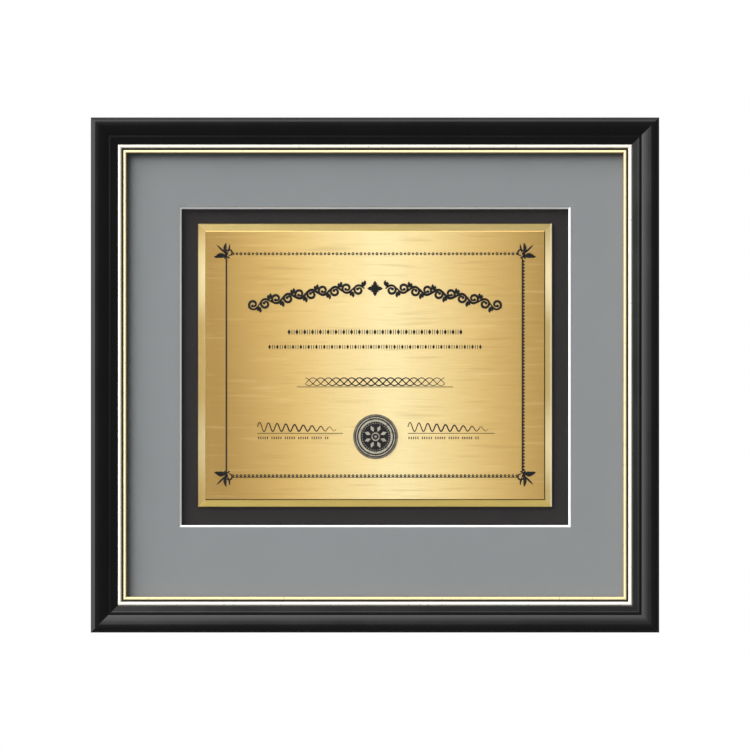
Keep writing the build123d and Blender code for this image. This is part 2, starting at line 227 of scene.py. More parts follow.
lacquer, tree, shader = new_material("black_lacquer", Specular_IOR_Level=0.38)
rails = placed(tree, rail_position)
grain = placed(tree, wood_grain, Along=rails["Along"], Inset=rails["Inset"], Depth=rails["Depth"])
place = object_place(tree)
ragged = sum_up(tree, "MULTIPLY", speckle(tree, place, scale=520.0, detail=3.0), overspray_raggedness)
edge = sum_up(tree, "ADD", ragged, overspray_inset)
past_edge = sum_up(tree, "SUBTRACT", rails["Inset"], edge)
behind = sum_up(tree, "GREATER_THAN", rails["Depth"], bare_wood_front_y)
inside = spread(tree, past_edge, -overspray_softness, overspray_softness)
bare = sum_up(tree, "MULTIPLY", behind, inside)
mottle = speckle(tree, place, scale=26.0, detail=3.0)
peel = speckle(tree, place, scale=1250.0, detail=1.0)
dust = placed(tree, patches, Scale=2600.0, Detail=1.0, Begin=0.70, Full=0.78)["Share"]
sheen = spread(tree, mottle, *noise_core, *lacquer_sheen)
dusty = sum_up(tree, "MULTIPLY_ADD", dust, dust_dulling, sheen)
tone = mix_colours(tree, sum_up(tree, "MULTIPLY", dust, dust_share), lacquer_colour, dust_colour)
tree.links.new(mix_colours(tree, bare, tone, grain["Colour"]), shader.inputs["Base Color"])
wood_roughness = sum_up(tree, "MULTIPLY", bare, bare_wood_roughness)
lacquered = sum_up(tree, "MULTIPLY", dusty, sum_up(tree, "SUBTRACT", 1.0, bare))
tree.links.new(sum_up(tree, "ADD", wood_roughness, lacquered), shader.inputs["Roughness"])
relief = sum_up(tree, "MULTIPLY_ADD", grain["Height"], bare, sum_up(tree, "MULTIPLY", peel, peel_share))
emboss(tree, shader, relief, strength=0.35, distance=0.00012)
finish_of(lacquer, *("moulding_" + side for side in sides))

# Gilt slip: four thin wooden lengths glued under the moulding's lip. Two round beads carry leaf, and
# the outer bead's leaf is painted near white as a painted highlight. The groove between them is black
# paint, widened onto the inner bead as painted shade, the edge next to the mat is painted a darker gold
# as painted shade, and the flange behind is bare wood.
# The groove is painted black. The dark band is set a little inward and runs onto the inner bead's foot
# as painted shade.
groove_inset = 0.0226
groove_half_width = 0.00083
groove_edge_shares = (1.12, 0.9)
bead_split_inset = 0.0223
# The outer bead's leaf is painted near white: a painted highlight.
outer_leaf_highlight = (1.0, 0.96, 0.82, 1)
leaf_warm = (1.0, 0.86, 0.48, 1)
leaf_rubbed = (0.62, 0.40, 0.16, 1)
groove_black_and_shade = (0.012, 0.008, 0.002, 1)
gilt_front_y = -0.0206
sight_inset = 0.0253
# The strip at the sight edge, where the bead rounds down to the mat, is painted a darker gold: painted
# shade.
sight_shade_inset = 0.0249
sight_painted_shade = (0.36, 0.255, 0.105, 1)
sight_shade_softness = 0.0002
leaf_wear_share = 0.08
leaf_metal_share = 0.30
leaf_burnish = (0.26, 0.36)
unburnished_dulling = 0.42

gilding, tree, shader = new_material("gilding", Specular_IOR_Level=0.5)
rails = placed(tree, rail_position)
grain = placed(tree, wood_grain, Along=rails["Along"], Inset=rails["Inset"], Depth=rails["Depth"])
place = object_place(tree)
in_front = sum_up(tree, "LESS_THAN", rails["Depth"], gilt_front_y)
at_sight = sum_up(tree, "GREATER_THAN", rails["Inset"], sight_inset)
gilt = sum_up(tree, "MAXIMUM", in_front, at_sight)
off_groove = sum_up(tree, "ABSOLUTE", sum_up(tree, "SUBTRACT", rails["Inset"], groove_inset))
groove = spread(tree, off_groove, *(groove_half_width * share for share in groove_edge_shares))
inner = sum_up(tree, "GREATER_THAN", rails["Inset"], bead_split_inset)
leaf = mix_colours(tree, inner, outer_leaf_highlight, leaf_warm)
worn = placed(tree, patches, Scale=240.0, Detail=4.0, Roughness=0.6, Begin=0.50, Full=0.80)["Share"]
leaf = mix_colours(tree, sum_up(tree, "MULTIPLY", worn, leaf_wear_share), leaf, leaf_rubbed)
# Black paint in the groove, with painted shade where it runs onto the inner bead.
leaf = mix_colours(tree, groove, leaf, groove_black_and_shade)
# Painted shade along the sight edge.
sight_shade_from = sight_shade_inset - sight_shade_softness
sight_shaded = spread(tree, rails["Inset"], sight_shade_from, sight_shade_inset + sight_shade_softness)
leaf = mix_colours(tree, sight_shaded, leaf, sight_painted_shade)
tree.links.new(mix_colours(tree, gilt, grain["Colour"], leaf), shader.inputs["Base Color"])
burnished = sum_up(tree, "MULTIPLY", gilt, sum_up(tree, "SUBTRACT", 1.0, groove))
shine = sum_up(tree, "MULTIPLY", burnished, leaf_metal_share)
tree.links.new(shine, shader.inputs["Metallic"])
burnish = spread(tree, speckle(tree, place, scale=300.0, detail=3.0), *noise_middle, *leaf_burnish)
matt = sum_up(tree, "SUBTRACT", 1.0, burnished)
roughness = sum_up(tree, "MULTIPLY_ADD", matt, unburnished_dulling, burnish)
tree.links.new(roughness, shader.inputs["Roughness"])
emboss(tree, shader, speckle(tree, place, scale=2600.0, detail=3.0), strength=0.12, distance=0.00003)
finish_of(gilding, *("gilt_slip_" + side for side in sides))

# Picture glass: one clear sheet, with ground edges that the rebate hides. Light goes straight through
# it to the mat, and it mirrors only a little of the room.
glass_tint = (0.985, 0.995, 0.99, 1)
glass_haze = 0.012

picture_glass, tree, shader = new_material(
    "picture_glass", Metallic=0.0, Transmission_Weight=1.0, IOR=1.5, Specular_IOR_Level=0.12
)
shader.inputs["Base Color"].default_value = glass_tint
film = placed(tree, patches, Scale=9.0, Detail=4.0, Begin=0.4, Full=0.7)["Share"]
tree.links.new(sum_up(tree, "MULTIPLY", film, glass_haze), shader.inputs["Roughness"])
rays = put(tree, "ShaderNodeLightPath").outputs
passing = sum_up(tree, "MAXIMUM", rays["Is Shadow Ray"], rays["Is Diffuse Ray"])
clear = put(tree, "ShaderNodeBsdfTransparent")
joined = put(tree, "ShaderNodeMixShader", {0: passing, 1: shader.outputs[0], 2: clear.outputs[0]})
tree.links.new(joined.outputs[0], tree.nodes["Material Output"].inputs["Surface"])
finish_of(picture_glass, "glazing_sheet")

# Window mat: grey facing paper on a white core, both cut through at 45 degrees, so that the core shows
# as a white line. Strips of foam board hold it up off the black board.
mat_grey = (0.190, 0.199, 0.204, 1)
core_white = (0.90, 0.90, 0.89, 1)
foam_white = (0.80, 0.80, 0.78, 1)
felt_lean = 0.0016
felt_share = 0.7


def paper_fibres_group():
    """Short felted fibres with a slow change of tone, as in board and facing paper."""
    wanted = [("Scale", "NodeSocketFloat", 1.0)]
    made = [("Fibre", "NodeSocketFloat"), ("Cloud", "NodeSocketFloat")]
    tree, start, end = new_group("paper fibres", wanted, made)
    place = object_place(tree)
    sized = put(tree, "ShaderNodeVectorMath", {0: place, "Scale": start.outputs[0]}, operation="SCALE")
    warp = put(tree, "ShaderNodeTexNoise", {"Vector": sized.outputs[0], "Scale": 900.0, "Detail": 2.0})
    lean = {0: warp.outputs["Color"], 1: (felt_lean, felt_lean, felt_lean), 2: sized.outputs[0]}
    felt = put(tree, "ShaderNodeVectorMath", lean, operation="MULTIPLY_ADD").outputs[0]
    tree.links.new(speckle(tree, felt, scale=2400.0, detail=3.0, roughness=0.65), end.inputs["Fibre"])
    tree.links.new(speckle(tree, sized.outputs[0], scale=14.0, detail=3.0), end.inputs["Cloud"])
    return tree


paper_fibres = paper_fibres_group()


def board_finish(name, colour, contrast, scale, relief, roughness):
    """A paper or board finish: its colour, how much the fibres show, and how matt it is."""
    material, tree, shader = new_material(name, Roughness=roughness, Specular_IOR_Level=0.2)
    fibres = placed(tree, paper_fibres, Scale=scale)
    darker = tuple(c * (1 - contrast) for c in colour[:3]) + (1,)
    lighter = tuple(min(c * (1 + contrast), 1) for c in colour[:3]) + (1,)
    cloud = sum_up(tree, "MULTIPLY", fibres["Cloud"], 1 - felt_share)
    share = sum_up(tree, "MULTIPLY_ADD", fibres["Fibre"], felt_share, cloud)
    share = spread(tree, share, *noise_middle)
    tree.links.new(mix_colours(tree, share, darker, lighter), shader.inputs["Base Color"])
    emboss(tree, shader, fibres["Fibre"], strength=0.4, distance=relief)
    return material


mat_paper = board_finish(
    "grey_mat_paper", mat_grey, contrast=0.035, scale=1.0, relief=0.00003, roughness=0.85
)
mat_core = board_finish(
    "white_mat_core", core_white, contrast=0.03, scale=1.6, relief=0.00004, roughness=0.9
)
foam_board = board_finish(
    "foam_board", foam_white, contrast=0.04, scale=0.7, relief=0.00008, roughness=0.85
)
finish_of(mat_paper, "mat_face_paper")
finish_of(mat_core, "mat_core")
finish_of(foam_board, *("mat_riser_" + side for side in sides))

# Boards: the black mount board that the plate is fixed to, and the black-faced foam board that closes
# the back of the frame. Foam tape holds the plate.
mount_black = (0.0082, 0.0058, 0.0060, 1)
backing_black = (0.028, 0.028, 0.029, 1)
tape_white = (0.78, 0.78, 0.75, 1)

mount_board = board_finish(
    "black_mount_board", mount_black, contrast=0.10, scale=1.0, relief=0.00003, roughness=0.8
)
backing_board = board_finish(
    "backing_board", backing_black, contrast=0.22, scale=0.55, relief=0.00006, roughness=0.7
)
foam_tape = board_finish(
    "foam_tape", tape_white, contrast=0.05, scale=0.9, relief=0.00010, roughness=0.8
)
finish_of(mount_board, "mount_board")
finish_of(backing_board, "backing_board")
finish_of(foam_tape, "plate_tape_strips")

# Face plate: thin gold-coloured metal, brushed from side to side, with a painted sheen: its colour is
# paler towards the middle, in a band that leans a little, as a painted highlight. Its cut edge is
# polished, and is painted light where it faces up and dark where it faces right and down, as painted
# light and shade.
plate_low, plate_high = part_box("plate_base")
face_low, face_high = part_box("face_plate")
plate_x = (plate_low.x + plate_high.x) / 2
plate_z = (plate_low.z + plate_high.z) / 2
sheen_middle_x = 0.0110
sheen_lean = 0.06
sheen_reach = 0.125
face_gold_edge = (0.275, 0.158, 0.032, 1)
face_gold_mid = (0.655, 0.432, 0.128, 1)
face_gold_bright = (0.830, 0.685, 0.360, 1)
# Colours of the cut edge by the way it faces: painted highlight facing up, painted half shade facing
# left and sideways, painted shade facing right and down.
cut_highlight_gold = (0.80, 0.52, 0.22, 1)
cut_half_shade_gold = (0.24, 0.165, 0.060, 1)
cut_shade_gold = (0.070, 0.032, 0.003, 1)
bright_gold_until = 0.12
mid_gold_at = 0.52
dark_streaks = (0.42, 0.26)
dark_streak_share = 0.21
pale_streaks = (0.58, 0.78)
pale_streak_share = 0.15
fine_line_share = 0.16
face_metal_share = 0.55
satin_roughness = (0.34, 0.48)
cut_roughness = 0.16
cut_slope = (0.90, 0.85)
cut_shade_facing = (0.1, 0.3)
cut_highlight_facing = (0.3, 0.5)
edge_easing = 0.8
streak_stretch = 0.055


def brushed_group():
    """Fine level brush lines, and a few longer and darker or paler ones."""
    wanted = [("Length", "NodeSocketFloat", 0.03), ("Fineness", "NodeSocketFloat", 2600.0)]
    made = [("Lines", "NodeSocketFloat"), ("Streaks", "NodeSocketFloat")]
    tree, start, end = new_group("brushed lines", wanted, made)
    axes = put(tree, "ShaderNodeSeparateXYZ", {0: object_place(tree)}).outputs
    short = sum_up(tree, "MULTIPLY", axes[0], start.outputs["Length"])
    fine = put(tree, "ShaderNodeCombineXYZ", {0: short, 1: axes[1], 2: axes[2]}).outputs[0]
    lines = speckle(tree, fine, scale=start.outputs["Fineness"], detail=3.0)
    tree.links.new(lines, end.inputs["Lines"])
    long = sum_up(tree, "MULTIPLY", axes[0], streak_stretch)
    wide = put(tree, "ShaderNodeCombineXYZ", {0: long, 2: axes[2]}).outputs[0]
    tree.links.new(speckle(tree, wide, scale=360.0, detail=1.0), end.inputs["Streaks"])
    return tree


brushed = brushed_group()

plate_face, tree, shader = new_material("gold_plate_face", Specular_IOR_Level=0.5)
lines = placed(tree, brushed, Length=0.02, Fineness=3600.0)
axes = put(tree, "ShaderNodeSeparateXYZ", {0: object_place(tree)}).outputs
# Painted sheen: the colour is paler nearer a leaning middle line, a painted highlight.
leaning = sum_up(tree, "MULTIPLY_ADD", axes[2], sheen_lean, axes[0])
off_middle = sum_up(tree, "ABSOLUTE", sum_up(tree, "SUBTRACT", leaning, sheen_middle_x))
share = spread(tree, off_middle, 0.0, sheen_reach)
ramp = put(tree, "ShaderNodeValToRGB", {0: share})
ramp.color_ramp.interpolation = "B_SPLINE"
ramp.color_ramp.elements[0].color = face_gold_bright
ramp.color_ramp.elements[1].color = face_gold_edge
ramp.color_ramp.elements.new(bright_gold_until).color = face_gold_bright
ramp.color_ramp.elements.new(mid_gold_at).color = face_gold_mid
dark_streak = spread(tree, lines["Streaks"], *dark_streaks)
pale_streak = spread(tree, lines["Streaks"], *pale_streaks)
darker = sum_up(tree, "MULTIPLY", dark_streak, dark_streak_share)
paler = sum_up(tree, "MULTIPLY", pale_streak, pale_streak_share)
colour = mix_colours(tree, darker, ramp.outputs[0], face_gold_edge)
colour = mix_colours(tree, paler, colour, face_gold_bright)
fine_share = spread(tree, lines["Lines"], *noise_middle, 0.0, fine_line_share)
colour = mix_colours(tree, fine_share, colour, face_gold_edge)
normal = put(tree, "ShaderNodeNewGeometry").outputs["Normal"]
facing = put(tree, "ShaderNodeSeparateXYZ", {0: normal}).outputs
cut = spread(tree, sum_up(tree, "ABSOLUTE", facing[1]), *cut_slope)
# Painted light and shade on the cut edge, by which way it faces.
away_from_window = sum_up(tree, "SUBTRACT", facing[0], facing[2])
cut_shaded = spread(tree, away_from_window, *cut_shade_facing)
cut_lit = spread(tree, facing[2], *cut_highlight_facing)
cut_painted_light = mix_colours(tree, cut_lit, cut_half_shade_gold, cut_highlight_gold)
cut_painted_light = mix_colours(tree, cut_shaded, cut_painted_light, cut_shade_gold)
tree.links.new(mix_colours(tree, cut, colour, cut_painted_light), shader.inputs["Base Color"])
tree.links.new(spread(tree, cut, 0.0, 1.0, face_metal_share, 1.0), shader.inputs["Metallic"])
satin = spread(tree, lines["Lines"], *noise_middle, *satin_roughness)
tree.links.new(spread(tree, cut, 0.0, 1.0, satin, cut_roughness), shader.inputs["Roughness"])
leaned = {0: normal, 1: (0, -edge_easing, 0)}
leaned = put(tree, "ShaderNodeVectorMath", leaned, operation="ADD").outputs[0]
eased = put(tree, "ShaderNodeVectorMath", {0: leaned}, operation="NORMALIZE").outputs[0]
wanted = {"Strength": 0.12, "Distance": 0.00003, "Height": lines["Lines"], "Normal": eased}
tree.links.new(put(tree, "ShaderNodeBump", wanted).outputs[0], shader.inputs["Normal"])
finish_of(plate_face, "face_plate")

# Plate base: a thicker satin plate behind the face plate, whose rim slopes down all round. Each side of
# the rim is painted its own lighter or darker gold, as painted light and shade. Paler patches twice up
# each side are painted highlights, and a pale line along the right edge is a painted highlight. A dark
# line where the face plate is seated, on the right and below, is a painted shadow.
# Each side of the rim has its own gold, lighter or darker: painted light and shade.
border_shading_left = (0.385, 0.265, 0.085, 1)
border_shading_right = (0.575, 0.425, 0.155, 1)
border_shading_top = (0.400, 0.300, 0.105, 1)
border_shading_bottom = (0.590, 0.432, 0.108, 1)
# Paler patches twice up each side of the rim: painted highlights.
reflection_gold_left = (0.550, 0.440, 0.225, 1)
reflection_gold_right = (0.97, 0.79, 0.45, 1)
reflection_band_z = 0.0707
reflection_band_spacing = 0.120
reflection_band_from = -0.2
lower_reflection_share = 0.65
lower_reflection_blend = 0.02
# A pale line along the right edge: a painted highlight.
edge_highlight_gold = (1.0, 0.90, 0.66, 1)
edge_highlight_width = 0.0011
edge_highlight_share = 0.6
edge_highlight_softness = edge_highlight_width * 0.3
# A dark line on the border beside the face plate's right and lower edges: a painted shadow.
seat_shadow_width = 0.0003
seat_shadow_softness = seat_shadow_width / 5
seat_shadow_colour = (0.090, 0.045, 0.006, 1)
border_metal_share = 0.6
right_metal_drop = -0.3
border_roughness = (0.29, 0.35)

plate_border, tree, shader = new_material("gold_plate_border", Specular_IOR_Level=0.5)
lines = placed(tree, brushed, Length=0.04, Fineness=2200.0)
axes = put(tree, "ShaderNodeSeparateXYZ", {0: object_place(tree)}).outputs
half_difference = (plate_high.x - plate_low.x - plate_high.z + plate_low.z) / 2
off_side = sum_up(tree, "SUBTRACT", sum_up(tree, "ABSOLUTE", axes[0]), half_difference)
off_level = sum_up(tree, "ABSOLUTE", sum_up(tree, "SUBTRACT", axes[2], plate_z))
side = sum_up(tree, "GREATER_THAN", off_side, off_level)
right = sum_up(tree, "GREATER_THAN", axes[0], plate_x)
above = sum_up(tree, "GREATER_THAN", axes[2], plate_z)
# Painted highlights, paler twice up each side.
reflection_wave = sum_up(tree, "SUBTRACT", axes[2], reflection_band_z)
reflection_wave = sum_up(tree, "COSINE", sum_up(tree, "MULTIPLY", reflection_wave, 2 * math.pi / reflection_band_spacing))
reflection_share = spread(tree, axes[2], -lower_reflection_blend, lower_reflection_blend, lower_reflection_share, 1.0)
reflected = sum_up(tree, "MULTIPLY", spread(tree, reflection_wave, reflection_band_from, 1.0), reflection_share)
left_shading = mix_colours(tree, reflected, border_shading_left, reflection_gold_left)
right_shading = mix_colours(tree, reflected, border_shading_right, reflection_gold_right)
upright_shading = mix_colours(tree, right, left_shading, right_shading)
level_shading = mix_colours(tree, above, border_shading_bottom, border_shading_top)
colour = mix_colours(tree, side, level_shading, upright_shading)
# Painted highlight along the right edge.
edge_highlight_x = plate_high.x - edge_highlight_width
at_highlight_edge = spread(tree, axes[0], edge_highlight_x - edge_highlight_softness, edge_highlight_x + edge_highlight_softness)
paler = sum_up(tree, "MULTIPLY", at_highlight_edge, edge_highlight_share)
colour = mix_colours(tree, paler, colour, edge_highlight_gold)
right_side = sum_up(tree, "MULTIPLY", side, right)
lower_side = sum_up(tree, "SUBTRACT", 1.0, sum_up(tree, "MAXIMUM", side, above))
# Painted shadow beside the face plate, on the right and below.
seat_shadow_right = face_high.x + seat_shadow_width
seat_shadow_bottom = face_low.z - seat_shadow_width
right_shadow = spread(tree, axes[0], seat_shadow_right + seat_shadow_softness, seat_shadow_right - seat_shadow_softness)
lower_shadow = spread(tree, axes[2], seat_shadow_bottom - seat_shadow_softness, seat_shadow_bottom + seat_shadow_softness)
right_shadow = sum_up(tree, "MULTIPLY", right_shadow, right_side)
lower_shadow = sum_up(tree, "MULTIPLY", lower_shadow, lower_side)
seat_shadow = sum_up(tree, "MAXIMUM", right_shadow, lower_shadow)
tree.links.new(mix_colours(tree, seat_shadow, colour, seat_shadow_colour), shader.inputs["Base Color"])
metal_share = sum_up(tree, "MULTIPLY_ADD", right_side, right_metal_drop, border_metal_share)
tree.links.new(metal_share, shader.inputs["Metallic"])
roughness = spread(tree, lines["Lines"], *noise_middle, *border_roughness)
tree.links.new(roughness, shader.inputs["Roughness"])
emboss(tree, shader, lines["Lines"], strength=0.05, distance=0.00003)
finish_of(plate_border, "plate_base")

# Border on the face plate: black enamel printed and fired on. Plain rules run up the sides, the right
# one with beads along it, and small rings run along the top and, on a line, along the bottom.
ink_height = 0.00006
border_half_width = 0.1066
border_top = 0.0800
border_bottom = -0.0792
rule_width = 0.00112
beaded_rule_width = 0.00100
bead_radius = 0.00088
bead_pitch = 0.0023
chain_pitch = 0.00287
ring_outer = 0.00104
ring_inner = 0.00032
top_ring_outer = 0.00108
top_ring_inner = 0.00038
link_lozenge = (0.00098, 0.00118)
chain_line_width = 0.00046
rule_clearance = 0.0031
chain_clearance = 0.0046
ink_black = (0.0035, 0.0028, 0.0035, 1)
ink_thinning = 0.02
ink_roughness = (0.36, 0.52)


def ink_point(mesh, x, z, height):
    """A point on the face plate, measured from the plate's middle, at some height over its face."""
    return mesh.verts.new((plate_x + x, face_low.y - height, plate_z + z))


def strip(mesh, rows, closed):
    """A closed ribbon from rows of four points: front left, front right, back right, back left."""
    pairs = list(zip(rows, rows[1:] + rows[:1] if closed else rows[1:]))
    for first, second in pairs:
        for n in range(4):
            after = (n + 1) % 4
            mesh.faces.new((first[n], second[n], second[after], first[after]))
    if not closed:
        mesh.faces.new(rows[0])
        mesh.faces.new(rows[-1][::-1])


def stroke(mesh, points, width, start_share=1.0, end_share=1.0):
    """A line of enamel along the points, which swells to its full width in the middle."""
    last = len(points) - 1
    rows = []
    for n, (x, z) in enumerate(points):
        before = points[max(n - 1, 0)]
        after = points[min(n + 1, last)]
        run = after[0] - before[0]
        rise = after[1] - before[1]
        length = math.hypot(run, rise)
        ends = start_share + (end_share - start_share) * n / last
        half = width / 2 * (ends + (1 - ends) * math.sin(math.pi * n / last))
        side_x = -rise / length * half
        side_z = run / length * half
        rows.append(
            (
                ink_point(mesh, x + side_x, z + side_z, ink_height),
                ink_point(mesh, x - side_x, z - side_z, ink_height),
                ink_point(mesh, x - side_x, z - side_z, 0.0),
                ink_point(mesh, x + side_x, z + side_z, 0.0),
            )
        )
    strip(mesh, rows, closed=False)


def ring(mesh, x, z, outer, inner, steps=16, height=ink_height, base=0.0):
    """A flat ring."""
    rows = []
    for n in range(steps):
        angle = 2 * math.pi * n / steps
        across = math.cos(angle)
        up = math.sin(angle)
        rows.append(
            (
                ink_point(mesh, x + outer * across, z + outer * up, height),
                ink_point(mesh, x + inner * across, z + inner * up, height),
                ink_point(mesh, x + inner * across, z + inner * up, base),
                ink_point(mesh, x + outer * across, z + outer * up, base),
            )
        )
    strip(mesh, rows, closed=True)


def patch(mesh, outline, height=ink_height, base=0.0):
    """A flat patch inside an outline."""
    front = [ink_point(mesh, x, z, height) for x, z in outline]
    back = [ink_point(mesh, x, z, base) for x, z in outline]
    mesh.faces.new(front)
    mesh.faces.new(back[::-1])
    for n, corner in enumerate(front):
        mesh.faces.new((corner, back[n], back[n - 1], front[n - 1]))


def dot(mesh, x, z, radius, steps=14, height=ink_height, base=0.0):
    """A round dot."""
    angles = [2 * math.pi * n / steps for n in range(steps)]
    outline = [(x + radius * math.cos(a), z + radius * math.sin(a)) for a in angles]
    patch(mesh, outline, height, base)


def lozenge(mesh, x, z, half_width, half_height):
    """An upright lozenge."""
    corners = [(x - half_width, z), (x, z - half_height), (x + half_width, z), (x, z + half_height)]
    patch(mesh, corners)


def print_on_plate(mesh, name, material):
    """Turns a finished design into a piece that lies on the face plate."""
    bmesh.ops.recalc_face_normals(mesh, faces=mesh.faces[:])
    data = bpy.data.meshes.new(name)
    mesh.to_mesh(data)
    mesh.free()
    data.materials.append(material)
    piece = bpy.data.objects.new(name, data)
    bpy.context.scene.collection.objects.link(piece)
    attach(piece, "frame")


enamel, tree, shader = new_material("black_enamel", Specular_IOR_Level=0.12)
thin = placed(tree, patches, Scale=1700.0, Detail=3.0, Begin=0.56, Full=0.72)["Share"]
thin = sum_up(tree, "MULTIPLY", thin, ink_thinning)
tree.links.new(mix_colours(tree, thin, ink_black, face_gold_edge), shader.inputs["Base Color"])
unevenness = speckle(tree, object_place(tree), scale=800.0)
roughness = spread(tree, unevenness, *noise_middle, *ink_roughness)
tree.links.new(roughness, shader.inputs["Roughness"])

mesh = bmesh.new()
rule_top = border_top - rule_clearance
rule_bottom = border_bottom + rule_clearance
stroke(mesh, [(-border_half_width, rule_bottom), (-border_half_width, rule_top)], rule_width)
beaded_x = border_half_width - bead_radius
stroke(mesh, [(beaded_x, rule_bottom), (beaded_x, rule_top)], beaded_rule_width)
bead_count = int((rule_top - rule_bottom) / bead_pitch)
for n in range(bead_count):
    dot(mesh, border_half_width, rule_bottom + bead_pitch * (n + 0.5), bead_radius, steps=12)
print_on_plate(mesh, "plate_side_rules", enamel)

mesh = bmesh.new()
chain_half = border_half_width - chain_clearance
link_count = round(2 * chain_half / chain_pitch)
for n in range(link_count + 1):
    x = chain_pitch * (n - link_count / 2)
    ring(mesh, x, border_bottom, ring_outer, ring_inner)
    if n % 2:
        lozenge(mesh, x, border_top, *link_lozenge)
    else:
        ring(mesh, x, border_top, top_ring_outer, top_ring_inner)
line_z = border_bottom - ring_outer - chain_line_width / 4
stroke(mesh, [(-chain_half, line_z), (chain_half, line_z)], chain_line_width)
print_on_plate(mesh, "plate_ring_borders", enamel)

# Corner sprays: a spike, a tall leaf, a loop and a feathered leaf that spring from each corner of the
# border, mirrored from one corner to the next, in the same enamel. Each stroke is given by its start,
# angle, length, width, bend and the share of its width at the root.
spray_tip_share = 0.06
spray_knot_radius = 0.0013
spray_strokes = (
    (-0.0003, 0.0000, 136, 0.0094, 0.00135, 0, 0.8),
    (0.0000, -0.0005, 116, 0.0088, 0.00240, -52, 0.35),
    (0.0009, 0.0008, 62, 0.0066, 0.00130, 30, 0.4),
    (0.0016, -0.0013, -10, 0.0112, 0.00125, 305, 0.6),
    (0.0006, -0.0014, 188, 0.0090, 0.00250, -12, 0.3),
    (-0.0048, -0.0016, 205, 0.0042, 0.00180, -40, 0.4),
    (-0.0012, -0.0009, 156, 0.0048, 0.00150, 26, 0.4),
    (-0.0032, -0.0012, 163, 0.0042, 0.00130, 26, 0.4),
    (0.0002, -0.0008, 250, 0.0034, 0.00170, -20, 0.5),
    (0.0002, -0.0014, 300, 0.0032, 0.00130, 50, 0.5),
)


def leaf_points(x, z, angle, length, bend, steps=18):
    """Points of a line that sets out at an angle and turns evenly by the bend, in degrees."""
    points = [(x, z)]
    for n in range(steps):
        heading = math.radians(angle + bend * (n + 0.5) / steps)
        x += length / steps * math.cos(heading)
        z += length / steps * math.sin(heading)
        points.append((x, z))
    return points


mesh = bmesh.new()
for flip_x, flip_z in ((1, 1), (-1, 1), (1, -1), (-1, -1)):
    corner_z = border_top if flip_z > 0 else -border_bottom
    for start_x, start_z, angle, length, width, bend, root_share in spray_strokes:
        points = leaf_points(start_x - border_half_width, start_z + corner_z, angle, length, bend)
        turned = [(x * flip_x, z * flip_z) for x, z in points]
        stroke(mesh, turned, width, root_share, spray_tip_share)
    dot(mesh, -border_half_width * flip_x, corner_z * flip_z, spray_knot_radius)
print_on_plate(mesh, "plate_corner_sprays", enamel)

# Arched scroll: a running vine in the same enamel, printed along an arch that rises to the middle of
# the plate. Its stem waves, and a curl with a round end fills each hollow.
arch_radius = 0.311
arch_crest = 0.0551
arch_half_length = 0.0925
arch_gap = 0.0075
vine_wave = 0.0170
vine_rise = 0.0022
vine_width = 0.0018
vine_steps = 10
vine_ends = (0.6, 0.3)
curl_radius = 0.0040
curl_lift = 0.0009
curl_start = 205
curl_turn = 470
curl_tightening = 0.72
curl_width = 0.0019
curl_ends = (0.35, 0.5)
curl_steps = 36
bud_radius = 0.0011
vine_leaves = ((38, 0.0046, -50, 0.0023), (-30, 0.0034, 40, 0.0019))
leaf_root_back = 0.2
leaf_root_rise = 0.8
leaf_root_share = 0.5
leaf_tip_share = 0.05
star_rays = ((0, 0.0056, 0.0031, 10), (45, 0.0038, 0.0017, 8))
star_root_share = 0.1


def on_arch(along, up):
    """A point on the arch from its length along it and its height over its middle line."""
    angle = along / arch_radius
    reach = arch_radius + up
    return reach * math.sin(angle), arch_crest - arch_radius + reach * math.cos(angle)


mesh = bmesh.new()
half_waves = round(2 * (arch_half_length - arch_gap) / vine_wave)
vine_length = half_waves * vine_wave / 2
for side in (-1, 1):
    stem = []
    steps = half_waves * vine_steps
    for n in range(steps + 1):
        out = vine_length * n / steps
        up = vine_rise * math.sin(2 * math.pi * out / vine_wave)
        stem.append(on_arch(side * (arch_gap + out), up))
    stroke(mesh, stem, vine_width, *vine_ends)
    for k in range(half_waves):
        sign = 1 if k % 2 == 0 else -1
        middle = arch_gap + vine_wave / 2 * (k + 0.5)
        spiral = []
        for n in range(curl_steps + 1):
            share = n / curl_steps
            angle = math.radians(curl_start + curl_turn * share)
            reach = curl_radius * (1 - curl_tightening * share)
            along = middle + reach * math.cos(angle)
            spiral.append(on_arch(side * along, -sign * (curl_lift + reach * math.sin(angle))))
        stroke(mesh, spiral, curl_width, *curl_ends)
        dot(mesh, *spiral[-1], bud_radius)
        root_along = middle - vine_wave * leaf_root_back
        root = on_arch(side * root_along, sign * vine_rise * leaf_root_rise)
        turn = side * sign
        for lean, length, bend, width in vine_leaves:
            leaf = leaf_points(*root, 90 * sign + lean * turn, length, bend * turn, steps=10)
            stroke(mesh, leaf, width, leaf_root_share, leaf_tip_share)
middle_x, middle_z = on_arch(0, 0)
for angle in (0, 90, 180, 270):
    for lean, length, width, steps in star_rays:
        ray = leaf_points(middle_x, middle_z, angle + lean, length, 0, steps)
        stroke(mesh, ray, width, star_root_share, leaf_tip_share)
print_on_plate(mesh, "plate_arched_scroll", enamel)

